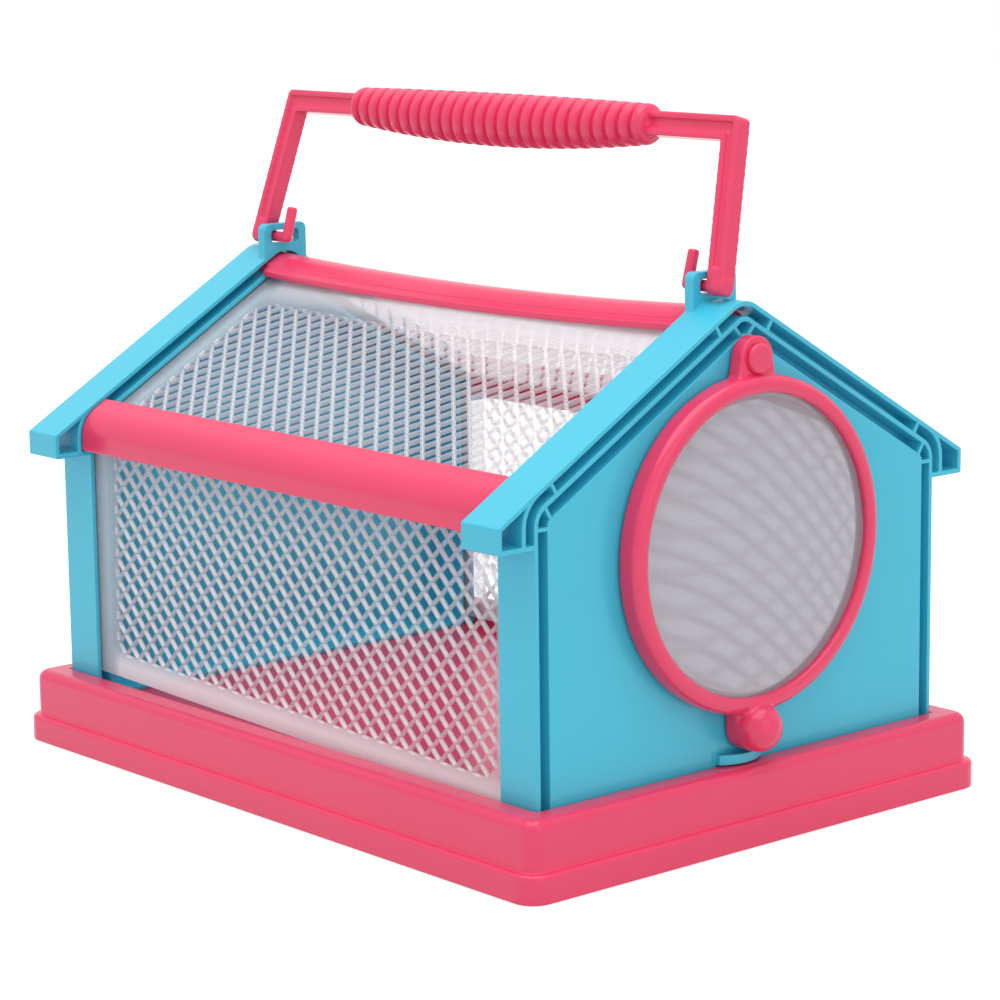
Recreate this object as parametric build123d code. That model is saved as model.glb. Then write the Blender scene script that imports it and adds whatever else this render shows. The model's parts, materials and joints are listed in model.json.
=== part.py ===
from build123d import *
import math
import os

# Frame: +Z up, the floor is z = 0, the ridge runs along Y and the lens door faces -Y.
# The origin is the middle of the base's underside.

# Base tray
base_length = 190.0
base_width = 138.0
base_height = 17.4
base_wall = 2.2
base_corner_radius = 5.4
base_top_round = 2.4
base_flange_height = 6.4
base_flange_out = 1.8
base_flange_round = 1.1
base_rib_width = 2.2
floor_drop = 5.5
floor_thickness = 2.0

# Ledge round the house, inside the tray's upper edge
ledge_end = 6.3
ledge_side = 7.2

# House outline, the same for both end walls
wall_depth = 11.7
eave_height = 54.7
tail_overhang = 9.7
tail_end_height = 5.74
tail_round = 0.5
roof_pitch = 30.5
roof_apex_round = 7.0
eave_round = 5.5

# End wall sections
skin = 1.1
flange = 1.1
channel_gap = 2.2
recess_gap = 2.5
inner_rib = 1.2
plate_thickness = 1.8
web_start = 5.0
web_thickness = 1.2
cross_web = 0.85
eave_channel_web_in = 6.1
apex_channel_web_x = 7.0
eave_recess_web_in = 4.6
eave_recess_web_up = 4.0
apex_recess_web_top_x = 2.8
apex_recess_web_foot_x = 1.0
tab_width = 12.0
tab_spacing = 70.0
tab_below_floor = 1.0

# Handle lugs on the roof apex
lug_half_width = 6.5
lug_thickness = 2.6
lug_height = 4.7
lug_round = 1.6
window_half_width = 4.2
window_height = 3.2
window_top_bar = 1.6
window_round = 1.0

# Doorway and its catch
doorway_radius = 34.0
catch_middle_x = -2.5
catch_round = 11.0
catch_reach = 3.3
catch_wall = 1.2
catch_height = 2.2
catch_mouth = 6.3

# Lens door
ring_center_above_ledge = 48.1
door_lean = 0.7
ring_outer_radius = 36.9
ring_inner_radius = 33.0
ring_thickness = 5.8
ring_front_round = 2.2
ring_inner_round = 1.1
ring_back_round = 0.6
lens_seat_radius = 33.9
ring_front_lip = 2.0
lens_edge_thickness = 1.6
lens_front_rise = 2.2
lens_back_rise = 1.1
pivot_above_center = 40.4
pivot_lug_radius = 4.8
pivot_lug_thickness = 3.6
pivot_neck_half_width = 5.8
pin_radius = 1.6
pin_head_radius = 3.3
pin_head_height = 1.3
pin_head_round = 0.8
pin_barb_radius = 2.1
pin_barb_length = 1.6
knob_radius = 5.35
knob_below_center = 39.8
knob_reach = 5.0

# Net panels
panel_thickness = 1.2
panel_foot_above_floor = 2.6
net_pitch = 7.4
net_hole = 4.2
end_border = 11.2
foot_border = 7.0
eave_border = 3.0
ridge_border = 8.6
roof_panel_top_x = 2.4

# Rails
rail_proud = 2.5
rail_roof_reach = 4.7
ridge_rail_proud = 1.6
ridge_rail_half_width = 7.4
tongue_thickness = 1.6
tongue_length = 5.0

# Carrying handle
handle_tilt = 14.9
handle_pivot_x = -2.1
handle_height = 36.8
handle_leg_width = 5.0
handle_bar_height = 5.4
handle_thickness = 3.9
handle_lean = 4.5
handle_rim = 1.5
handle_groove_depth = 0.9
handle_corner_round = 1.5
hinge_pin_radius = 1.3
hook_height = 7.6
hook_setback = 2.3
hook_tip_round = 0.5
grip_length = 104.6
grip_ribs = 26
grip_rib_width = 2.3
grip_rib_flat = 1.0
grip_stations = 9
grip_top_rise = 5.0
grip_end_drop = 4.4
grip_belly_drop = 7.3
grip_half_thickness = 4.6
grip_end_ratio = 0.86
grip_groove_depth = 0.8

# Clearances
fit_gap = 0.3
pin_gap = 0.05
tab_gap = 0.2

# Sizes that follow from the ones above
rise = math.tan(math.radians(roof_pitch))
run = math.cos(math.radians(roof_pitch))
house_half_width = base_width / 2 - base_flange_out - ledge_side
house_half_length = base_length / 2 - base_flange_out - ledge_end
floor_z = base_height - floor_drop
tail_half_width = house_half_width + tail_overhang
tail_bottom_z = base_height + eave_height
roof_apex_z = tail_bottom_z + tail_end_height + tail_half_width * rise
outline_apex_z = roof_apex_z - (skin + channel_gap) / run
plate_inset = flange + recess_gap
rib_inset = plate_inset + inner_rib
panel_inset = flange + fit_gap
web_end = web_start + web_thickness
lug_start = wall_depth - lug_thickness
lug_top_z = roof_apex_z + lug_height
fascia_y = house_half_length - wall_depth
panel_half_length = house_half_length - web_end - fit_gap
net_half_length = panel_half_length - end_border
ring_back_y = -house_half_length - fit_gap
ring_center_z = base_height + ring_center_above_ledge
pivot_z = ring_center_z + pivot_above_center
knob_center_z = ring_center_z - knob_below_center
window_top_z = lug_top_z - window_top_bar
window_bottom_z = window_top_z - window_height
handle_pivot_z = window_bottom_z + fit_gap + hinge_pin_radius
lug_corner_reach = math.hypot(lug_half_width + abs(handle_pivot_x), lug_top_z - handle_pivot_z)
leg_gap = pin_gap + handle_lean / handle_height * lug_corner_reach
leg_inner_y = house_half_length - lug_start + leg_gap
leg_outer_y = leg_inner_y + handle_leg_width
sharpest_round = 0.4
overshoot = 1.0
weld = 0.1


def roof_z(x, inset=0.0):
    """Height of the roof's sloping surface at x, a distance inset below its top."""
    return roof_apex_z - inset / run - abs(x) * rise


def outline_slope_z(x, inset):
    """Height of the house outline's slope at x, for an outline moved inwards by inset."""
    return outline_apex_z - inset / run - abs(x) * rise


def facing_front(y):
    """A plane across the house at y, looking out of the front: its own y is height."""
    return Plane(origin=(0, y, 0), x_dir=(1, 0, 0), z_dir=(0, -1, 0))


def facing_right(x):
    """A plane along the house at x, looking to +X: its own x is Y and its own y is height."""
    return Plane(origin=(x, 0, 0), x_dir=(0, 1, 0), z_dir=(1, 0, 0))


def closed_face(points, radii):
    return make_face(FilletPolyline(*points, radius=radii, close=True))


def gable(inset, foot_z):
    """The house outline in the XZ plane, moved inwards by inset, with rounded eaves and apex."""
    half = house_half_width - inset
    eave = outline_slope_z(half, inset)
    eave_radius = max(eave_round - inset, sharpest_round)
    apex_radius = max(roof_apex_round - skin - channel_gap - inset, sharpest_round)
    points = [
        (-half, foot_z),
        (-half, eave),
        (0, outline_slope_z(0, inset)),
        (half, eave),
        (half, foot_z),
    ]
    return closed_face(points, [0, eave_radius, apex_radius, eave_radius, 0])


def box_face(x0, x1, z0, z1):
    """A plain rectangle between two pairs of limits."""
    return make_face(Polyline((x0, z0), (x1, z0), (x1, z1), (x0, z1), close=True))


def roof_outline(thickness):
    """The roof with its straight tails, or the space inside its skin."""
    half = tail_half_width - thickness
    low = tail_bottom_z + thickness
    apex_radius = max(roof_apex_round - thickness, sharpest_round)
    corner = max(tail_round - thickness, 0)
    points = [
        (-half, low),
        (-half, roof_z(half, thickness)),
        (0, roof_z(0, thickness)),
        (half, roof_z(half, thickness)),
        (half, low),
    ]
    return closed_face(points, [corner, corner, apex_radius, corner, corner])


def strip_face(start, end, width):
    """A thin straight strip between two points of the XZ plane."""
    dx = end[0] - start[0]
    dz = end[1] - start[1]
    length = math.hypot(dx, dz)
    side = (-dz / length * width / 2, dx / length * width / 2)
    return make_face(
        Polyline(
            (start[0] + side[0], start[1] + side[1]),
            (end[0] + side[0], end[1] + side[1]),
            (end[0] - side[0], end[1] - side[1]),
            (start[0] - side[0], start[1] - side[1]),
            close=True,
        )
    )


def slab(face, start, end):
    """Extrude a face of the XZ plane through the front wall, start to end below its outer face."""
    return extrude(facing_front(start - house_half_length) * face, amount=start - end)


def across_slope(x, inner, outer, side):
    """A strip that bridges two outlines square to the slope, at x on the slope."""
    sine = math.sin(math.radians(roof_pitch))
    foot = (x, outline_slope_z(x, inner))
    reach = inner - outer
    return strip_face(
        (side * foot[0], foot[1]),
        (side * (foot[0] + reach * sine), foot[1] + reach * run),
        cross_web,
    )


def roof_band():
    """Roof skin, tails and the curved web that closes each eave channel."""
    skin_ring = roof_outline(0) - roof_outline(skin) - gable(0, floor_z)
    curved = gable(-channel_gap - skin, floor_z) - gable(-channel_gap, floor_z - overshoot)
    return slab(skin_ring, 0, wall_depth) + slab(curved & roof_outline(0), 0, wall_depth)


def cross_webs():
    """The small webs that tie the flange to the roof skin and to the plate."""
    webs = []
    for side in (-1, 1):
        for x in (house_half_width - eave_channel_web_in, apex_channel_web_x):
            webs.append(across_slope(x, weld, -channel_gap - weld, side))
        eave_x = house_half_width - eave_recess_web_in
        webs.append(across_slope(eave_x, plate_inset + weld, flange - weld, side))
        webs.append(
            strip_face(
                (side * (house_half_width - plate_inset - weld), tail_bottom_z + eave_recess_web_up),
                (side * (house_half_width - flange + weld), tail_bottom_z + eave_recess_web_up),
                cross_web,
            )
        )
        webs.append(
            strip_face(
                (side * apex_recess_web_top_x, outline_slope_z(apex_recess_web_top_x, flange - weld)),
                (side * apex_recess_web_foot_x, outline_slope_z(apex_recess_web_foot_x, plate_inset + weld)),
                cross_web,
            )
        )
    return webs


def lug():
    """A flat ear with a window, standing on the roof apex at the wall's inner edge."""
    outline = closed_face(
        [
            (-lug_half_width, outline_apex_z),
            (-lug_half_width, lug_top_z),
            (lug_half_width, lug_top_z),
            (lug_half_width, outline_apex_z),
        ],
        [0, lug_round, lug_round, 0],
    )
    low_corner = roof_z(lug_half_width, skin)
    foot = box_face(-lug_half_width, lug_half_width, low_corner, outline_apex_z + sharpest_round)
    window = closed_face(
        [
            (-window_half_width, window_bottom_z),
            (-window_half_width, window_top_z),
            (window_half_width, window_top_z),
            (window_half_width, window_bottom_z),
        ],
        window_round,
    )
    above_channel = outline + foot - gable(-channel_gap, floor_z) - window
    return slab(above_channel, lug_start, wall_depth)


def tabs():
    """Tongues under the plate that go down through the tray's floor."""
    low = floor_z - floor_thickness - tab_below_floor
    high = floor_z + overshoot
    made = []
    for side in (-1, 1):
        middle = side * tab_spacing / 2
        face = box_face(middle - tab_width / 2, middle + tab_width / 2, low, high)
        made.append(slab(face, 0, plate_thickness))
    return made


def end_wall():
    """The moulding that both ends share, in the front wall's place."""
    foot = floor_z
    plate = slab(gable(plate_inset, foot), 0, plate_thickness)
    rim = slab(gable(plate_inset, foot) - gable(rib_inset, foot + inner_rib), 0, wall_depth)
    post = slab(gable(0, foot) - gable(flange, foot - overshoot), 0, wall_depth)
    recess_web = gable(flange, foot) - gable(plate_inset, foot - overshoot)
    channel = gable(-channel_gap, tail_bottom_z) - gable(0, floor_z)
    open_socket = box_face(-apex_channel_web_x, apex_channel_web_x, base_height, lug_top_z)
    wall = plate + rim + post + roof_band() + lug()
    wall += slab(recess_web, web_start, web_end)
    wall += slab(channel - open_socket, web_start, web_end)
    for web in cross_webs():
        wall += slab(web, 0, web_end)
    for tab in tabs():
        wall += tab
    return wall


def along_y(radius, start_y, end_y, x=0.0, z=0.0):
    """A round bar along Y, from start_y to end_y."""
    plane = Plane(origin=(x, start_y, z), x_dir=(1, 0, 0), z_dir=(0, 1, 0))
    return extrude(plane * Circle(radius), amount=end_y - start_y)


def along_z(radius, x, y, z0, z1):
    """A round bar along Z, from z0 to z1."""
    return extrude(Plane(origin=(x, y, z0)) * Circle(radius), amount=z1 - z0)


def catch():
    """A shallow curved cup under the knob, open on top and at its left end."""
    middle_y = -house_half_length - catch_reach + catch_round
    low = base_height + fit_gap
    high = low + catch_height
    inner = catch_round - catch_wall
    cup = along_z(catch_round, catch_middle_x, middle_y, low, high)
    cup -= along_z(inner, catch_middle_x, middle_y, low + catch_wall, high + overshoot)
    kept = box_face(catch_middle_x - catch_mouth, catch_middle_x + catch_round, low, high)
    return cup & slab(kept, -catch_reach, weld)


def front_wall():
    outside_y = -house_half_length - overshoot
    inside_y = -house_half_length + plate_thickness + overshoot
    doorway = along_y(doorway_radius, outside_y, inside_y, z=ring_center_z)
    pin_hole = along_y(pin_radius + pin_gap, outside_y, inside_y, z=pivot_z)
    return end_wall() + catch() - doorway - pin_hole


def back_wall():
    return mirror(end_wall(), about=Plane.XZ)


def rounded_block(length_x, length_y, z0, z1, radius):
    plan = RectangleRounded(length_x, length_y, radius)
    return extrude(Plane(origin=(0, 0, z0)) * plan, amount=z1 - z0)


def base_tray():
    body_x = base_width - 2 * base_flange_out
    body_y = base_length - 2 * base_flange_out
    body_radius = base_corner_radius - base_flange_out
    body = rounded_block(body_x, body_y, 0, base_height, body_radius)
    body = fillet(body.faces().sort_by(Axis.Z)[-1].edges(), base_top_round)
    foot = rounded_block(base_width, base_length, 0, base_flange_height, base_corner_radius)
    foot = fillet(foot.faces().sort_by(Axis.Z)[-1].edges(), base_flange_round)
    tray = body + foot

    recess_x = 2 * (house_half_width + fit_gap)
    recess_y = 2 * (house_half_length + fit_gap)
    recess_plan = Plane(origin=(0, 0, floor_z)) * Rectangle(recess_x, recess_y)
    recess = extrude(recess_plan, amount=floor_drop + overshoot)

    under_x = body_x - 2 * base_wall
    under_y = body_y - 2 * base_wall
    under_radius = max(body_radius - base_wall, sharpest_round)
    hollow = rounded_block(under_x, under_y, -overshoot, floor_z - floor_thickness, under_radius)
    ledge_hollow = rounded_block(under_x, under_y, 0, base_height - base_wall, under_radius)
    ledge_hollow -= Box(recess_x + 2 * base_wall, recess_y + 2 * base_wall, 2 * (base_height + overshoot))
    tray = tray - recess - hollow - ledge_hollow

    rib_height = floor_z - floor_thickness
    tray += Pos(0, 0, rib_height / 2) * Box(base_rib_width, under_y + base_wall, rib_height)
    tray += Pos(0, 0, rib_height / 2) * Box(under_x + base_wall, base_rib_width, rib_height)

    slot_x = tab_width + 2 * tab_gap
    slot_y = plate_thickness + 2 * tab_gap
    plate_middle_y = house_half_length - plate_thickness / 2
    for side_x in (-1, 1):
        for side_y in (-1, 1):
            place = Pos(side_x * tab_spacing / 2, side_y * plate_middle_y, floor_z)
            tray -= place * Box(slot_x, slot_y, 2 * (floor_thickness + overshoot))
    return tray


def net_panel(length, height, low_border, high_border):
    """A flat panel in its own XY plane, with diamond holes inside plain borders."""
    sheet = box_face(-length / 2, length / 2, 0, height)
    step = net_pitch / 2
    reach = net_hole / math.sqrt(2)
    half_columns = math.floor((net_half_length - reach) / step)
    rows = math.floor((height - low_border - high_border - 2 * reach) / step)
    first = low_border + reach + ((height - low_border - high_border - 2 * reach) - rows * step) / 2
    outer = Wire(sheet.edges())
    holes = []
    for column in range(-half_columns, half_columns + 1):
        for row in range(rows + 1):
            if (column + row) % 2 == 0:
                x = column * step
                y = first + row * step
                hole = Polyline((x - reach, y), (x, y - reach), (x + reach, y), (x, y + reach), close=True)
                holes.append(Wire(hole.edges()))
    return Face(outer, holes)


def side_panel(side):
    foot_z = floor_z + panel_foot_above_floor
    corner_z = outline_slope_z(house_half_width, 0)
    tangent = eave_round * math.tan(math.radians((90 - roof_pitch) / 2))
    height = corner_z - tangent - foot_z
    inner_x = house_half_width - panel_inset - panel_thickness
    face = net_panel(2 * panel_half_length, height, foot_border, eave_border)
    plane = Plane(origin=(side * inner_x, 0, foot_z), x_dir=(0, side, 0), z_dir=(side, 0, 0))
    return extrude(plane * face, amount=panel_thickness)


def roof_panel(side):
    sine = math.sin(math.radians(roof_pitch))
    tangent = eave_round * math.tan(math.radians((90 - roof_pitch) / 2))
    eave_x = house_half_width - tangent * run
    inner = panel_inset + panel_thickness
    low_x = eave_x - inner * sine
    length = (low_x - roof_panel_top_x) / run
    face = net_panel(2 * panel_half_length, length, eave_border, ridge_border)
    plane = Plane(
        origin=(side * low_x, 0, outline_slope_z(low_x, inner)),
        x_dir=(0, side, 0),
        z_dir=(side * sine, 0, run),
    )
    return extrude(plane * face, amount=panel_thickness)


def rail(face, half_length):
    return extrude(facing_front(-half_length) * face, amount=-2 * half_length)


def eave_rail(side):
    """Rounded corner cover with a thinner tongue at each end, in the walls' eave channels."""
    low = tail_bottom_z + skin + fit_gap
    high = roof_apex_z
    cover = gable(-rail_proud, low) - gable(-fit_gap, low - overshoot)
    cover &= box_face(house_half_width - rail_roof_reach, tail_half_width, low, high)
    tongue = gable(-fit_gap - tongue_thickness, low) - gable(-fit_gap, low - overshoot)
    tongue &= box_face(house_half_width - rail_roof_reach, tail_half_width, low, high)
    made = rail(cover, fascia_y - fit_gap) + rail(tongue, fascia_y + tongue_length)
    return made if side > 0 else mirror(made, about=Plane.YZ)


def ridge_rail():
    """Peaked cap along the ridge, with a narrower tongue at each end."""
    low = tail_bottom_z
    cover = gable(-ridge_rail_proud, low) - gable(-fit_gap, low - overshoot)
    cover &= box_face(-ridge_rail_half_width, ridge_rail_half_width, low, roof_apex_z)
    tongue_half = apex_channel_web_x - cross_web - fit_gap
    tongue = gable(-fit_gap - tongue_thickness, low) - gable(-fit_gap, low - overshoot)
    tongue &= box_face(-tongue_half, tongue_half, low, roof_apex_z)
    return rail(cover, fascia_y - fit_gap) + rail(tongue, fascia_y + tongue_length)


def leaning(piece):
    """Turn a piece of the door a little about its pin, to where it comes to rest by the catch."""
    return Pos(0, 0, pivot_z) * Rot(0, door_lean, 0) * Pos(0, 0, -pivot_z) * piece


def lens_frame():
    """Ring, pivot lug and knob, one moulding."""
    front_y = ring_back_y - ring_thickness
    ring = along_y(ring_outer_radius, ring_back_y, front_y, z=ring_center_z)
    ring -= along_y(ring_inner_radius, ring_back_y + overshoot, front_y - overshoot, z=ring_center_z)
    front_edges = ring.edges().filter_by(GeomType.CIRCLE).group_by(Axis.Y)[0].sort_by(lambda e: e.radius)
    ring = fillet(front_edges[-1], ring_front_round)
    front_edges = ring.edges().filter_by(GeomType.CIRCLE).group_by(Axis.Y)[0].sort_by(lambda e: e.radius)
    ring = fillet(front_edges[0], ring_inner_round)
    back_edges = ring.edges().filter_by(GeomType.CIRCLE).group_by(Axis.Y)[-1].sort_by(lambda e: e.radius)
    ring = fillet(back_edges[-1], ring_back_round)

    lug_front_y = ring_back_y - pivot_lug_thickness
    neck = make_face(
        Polyline(
            (-pivot_lug_radius, pivot_z),
            (pivot_lug_radius, pivot_z),
            (pivot_neck_half_width, ring_center_z + ring_outer_radius - ring_front_round),
            (-pivot_neck_half_width, ring_center_z + ring_outer_radius - ring_front_round),
            close=True,
        )
    )
    frame = ring + along_y(pivot_lug_radius, ring_back_y, lug_front_y, z=pivot_z)
    frame += extrude(facing_front(ring_back_y) * neck, amount=pivot_lug_thickness)
    knob_y = ring_back_y - knob_reach
    frame += along_y(knob_radius, ring_back_y, knob_y, z=knob_center_z)
    ball = Pos(0, knob_y, knob_center_z) * Sphere(knob_radius)
    frame += ball - along_y(knob_radius + overshoot, ring_back_y, ring_back_y + knob_radius, z=knob_center_z)
    knob_neck = make_face(
        Polyline(
            (-knob_radius, knob_center_z),
            (knob_radius, knob_center_z),
            (knob_radius, ring_center_z - ring_outer_radius + ring_front_round),
            (-knob_radius, ring_center_z - ring_outer_radius + ring_front_round),
            close=True,
        )
    )
    frame += extrude(facing_front(ring_back_y) * knob_neck, amount=pivot_lug_thickness)
    frame -= along_y(pin_radius + pin_gap, ring_back_y + overshoot, lug_front_y - overshoot, z=pivot_z)
    frame -= along_y(lens_seat_radius, ring_back_y + overshoot, front_y + ring_front_lip, z=ring_center_z)
    return leaning(frame)


def lens():
    """Clear magnifier with a thin edge that seats behind the ring's front lip."""
    edge_radius = lens_seat_radius - fit_gap
    dome_radius = ring_inner_radius - fit_gap
    front = ring_thickness - ring_front_lip
    back = front - lens_edge_thickness

    def arc_middle(level, height):
        sphere = (dome_radius**2 + height**2) / (2 * abs(height))
        drop = sphere - math.sqrt(sphere**2 - (dome_radius / 2) ** 2)
        return (dome_radius / 2, level + height - math.copysign(drop, height))

    top = front + lens_front_rise
    bottom = back - lens_back_rise
    outline = [
        Line((0, bottom), (0, top)),
        ThreePointArc((0, top), arc_middle(front, lens_front_rise), (dome_radius, front)),
        Line((dome_radius, front), (edge_radius, front)),
        Line((edge_radius, front), (edge_radius, back)),
        Line((edge_radius, back), (dome_radius, back)),
        ThreePointArc((dome_radius, back), arc_middle(back, -lens_back_rise), (0, bottom)),
    ]
    disc = revolve(Plane.XZ * make_face(outline), Axis.Z)
    to_door = Location(Plane(origin=(0, ring_back_y, ring_center_z), x_dir=(1, 0, 0), z_dir=(0, -1, 0)))
    return leaning(to_door * disc)


def door_pivot_pin():
    """Round-headed pin that snaps behind the front wall's plate."""
    head_back_y = ring_back_y - pivot_lug_thickness - pin_gap
    plate_back_y = -house_half_length + plate_thickness
    head = along_y(pin_head_radius, head_back_y, head_back_y - pin_head_height, z=pivot_z)
    head = fillet(head.edges().filter_by(GeomType.CIRCLE).group_by(Axis.Y)[0], pin_head_round)
    barb_y = plate_back_y + pin_gap
    shaft = along_y(pin_radius, head_back_y, barb_y + pin_barb_length, z=pivot_z)
    barb = along_y(pin_barb_radius, barb_y, barb_y + pin_barb_length, z=pivot_z)
    tip_edges = barb.edges().filter_by(GeomType.CIRCLE).group_by(Axis.Y)[-1]
    barb = chamfer(tip_edges, pin_barb_radius - pin_radius)
    return head + shaft + barb


def bail_outline(inset, foot_z):
    """Three-sided band in the YZ plane about the hinge axis, moved in from both of its edges."""
    lean = handle_lean / handle_height
    top = handle_height - inset
    bar_foot = handle_height - handle_bar_height + inset

    def outer_y(z):
        return leg_outer_y - lean * z - inset

    def inner_y(z):
        return leg_inner_y - lean * z + inset

    corners = [
        (outer_y(foot_z), foot_z),
        (outer_y(top), top),
        (-outer_y(top), top),
        (-outer_y(foot_z), foot_z),
        (-inner_y(foot_z), foot_z),
        (-inner_y(bar_foot), bar_foot),
        (inner_y(bar_foot), bar_foot),
        (inner_y(foot_z), foot_z),
    ]
    return make_face(Polyline(*corners, close=True))


def bail_frame():
    """Legs and bar, grooved on both faces."""
    frame = extrude(facing_right(-handle_thickness / 2) * bail_outline(0, 0), amount=handle_thickness)
    frame = fillet(frame.edges().group_by(Axis.Z)[-1].filter_by(Axis.X), handle_corner_round)
    groove = bail_outline(handle_rim, handle_thickness)
    for side in (-1, 1):
        groove_floor = facing_right(side * (handle_thickness / 2 - handle_groove_depth))
        frame -= extrude(groove_floor * groove, amount=side * (handle_groove_depth + overshoot))
    return frame


def grip_section(y, shrink):
    """Oval across the bar at y: nearly straight on top, bellied below."""
    share = min(abs(y) / (grip_length / 2), 1.0)
    belly = grip_end_drop + (grip_belly_drop - grip_end_drop) * (1 - share**2)
    width = grip_half_thickness * (grip_end_ratio + (1 - grip_end_ratio) * (1 - share**2))
    bar_middle = handle_height - handle_bar_height / 2
    top = bar_middle + grip_top_rise * (1 - (1 - grip_end_ratio) * share**2)
    middle = (top + bar_middle - belly) / 2
    half_height = (top - (bar_middle - belly)) / 2
    plane = Plane(origin=(0, y, middle), x_dir=(1, 0, 0), z_dir=(0, 1, 0))
    return plane * Ellipse(width - shrink, half_height - shrink)


def grip():
    """Bellied core with a row of raised ribs."""
    core_sections = []
    for i in range(grip_stations):
        y = -grip_length / 2 + grip_length * i / (grip_stations - 1)
        core_sections.append(grip_section(y, grip_groove_depth))
    core = loft(core_sections)
    ribs = []
    spacing = (grip_length - grip_rib_width) / (grip_ribs - 1)
    for i in range(grip_ribs):
        middle = -grip_length / 2 + grip_rib_width / 2 + i * spacing
        sections = [
            grip_section(middle - grip_rib_width / 2, grip_groove_depth),
            grip_section(middle - grip_rib_flat / 2, 0),
            grip_section(middle + grip_rib_flat / 2, 0),
            grip_section(middle + grip_rib_width / 2, grip_groove_depth),
        ]
        ribs.append(loft(sections, ruled=True))
    return core + ribs


def hinge_hook(side):
    """Pin from the leg's foot through the lug's window, turned up behind the lug."""
    hook_y = fascia_y - hook_setback - hinge_pin_radius
    foot = along_y(handle_thickness / 2, side * leg_inner_y, side * leg_outer_y)
    pin = along_y(hinge_pin_radius, side * leg_inner_y, side * hook_y)
    elbow = Pos(0, side * hook_y, 0) * Sphere(hinge_pin_radius)
    hook = Pos(0, side * hook_y, hook_height / 2) * Cylinder(hinge_pin_radius, hook_height)
    hook = fillet(hook.edges().filter_by(GeomType.CIRCLE).sort_by(Axis.Z)[-1], hook_tip_round)
    return foot + pin + elbow + hook


def handle():
    upright = bail_frame() + grip()
    for side in (-1, 1):
        upright += hinge_hook(side)
    return Pos(handle_pivot_x, 0, handle_pivot_z) * Rot(0, handle_tilt, 0) * upright


nodes = {
    "base_tray": base_tray(),
    "front_wall": front_wall(),
    "back_wall": back_wall(),
    "left_side_net": side_panel(-1),
    "right_side_net": side_panel(1),
    "left_roof_net": roof_panel(-1),
    "right_roof_net": roof_panel(1),
    "left_eave_rail": eave_rail(-1),
    "right_eave_rail": eave_rail(1),
    "ridge_rail": ridge_rail(),
    "lens_frame": lens_frame(),
    "lens": lens(),
    "door_pivot_pin": door_pivot_pin(),
    "carry_handle": handle(),
}

os.makedirs("parts", exist_ok=True)
for name, shape in nodes.items():
    export_step(shape, f"parts/{name}.step")
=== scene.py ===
"""House-shaped bug viewer box: tray, gabled walls, diamond nets, rails, magnifier door and handle."""

import json
import math

import bmesh
import bpy
from mathutils import Matrix, Vector


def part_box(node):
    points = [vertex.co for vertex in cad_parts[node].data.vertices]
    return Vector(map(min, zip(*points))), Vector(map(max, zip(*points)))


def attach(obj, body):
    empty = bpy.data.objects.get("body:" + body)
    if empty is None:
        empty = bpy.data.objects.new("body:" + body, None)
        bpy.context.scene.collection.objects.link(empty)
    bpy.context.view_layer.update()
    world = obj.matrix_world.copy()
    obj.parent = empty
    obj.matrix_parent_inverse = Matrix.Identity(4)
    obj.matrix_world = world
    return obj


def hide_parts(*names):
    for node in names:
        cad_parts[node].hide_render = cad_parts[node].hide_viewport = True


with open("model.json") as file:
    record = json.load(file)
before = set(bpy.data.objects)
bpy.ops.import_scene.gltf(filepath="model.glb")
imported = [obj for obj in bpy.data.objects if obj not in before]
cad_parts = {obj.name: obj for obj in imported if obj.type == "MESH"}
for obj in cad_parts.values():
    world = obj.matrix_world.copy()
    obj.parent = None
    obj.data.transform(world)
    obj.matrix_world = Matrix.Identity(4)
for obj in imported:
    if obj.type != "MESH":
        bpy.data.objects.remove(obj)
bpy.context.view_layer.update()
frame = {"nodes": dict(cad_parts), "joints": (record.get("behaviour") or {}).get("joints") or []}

bl_info = {
    "name": "Bug Viewer Box",
    "version": (1, 0, 0),
    "blender": (4, 5, 0),
    "location": "View3D > Sidebar > Bug Box",
    "description": "House-shaped bug viewer box with net sides, a magnifier door and a carry handle",
    "category": "Object",
}

MM = 0.001
MERGE_DISTANCE = 0.002 * MM
WELD_DISTANCE = 0.004 * MM
SHORTEST_EDGE = 0.04 * MM
BEVEL_ANGLE = math.radians(38)
FLAT_ANGLE = math.radians(0.3)
FLOOR_GAP = 0.05 * MM
# Share of its cut-off half that a diamond at the net's edge keeps
CUT_HOLE = 0.1
UP = Vector((0, 0, 1))


def joint(name):
    return next(item for item in frame["joints"] if item["name"] == name)


# Sizes that a user would change


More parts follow.
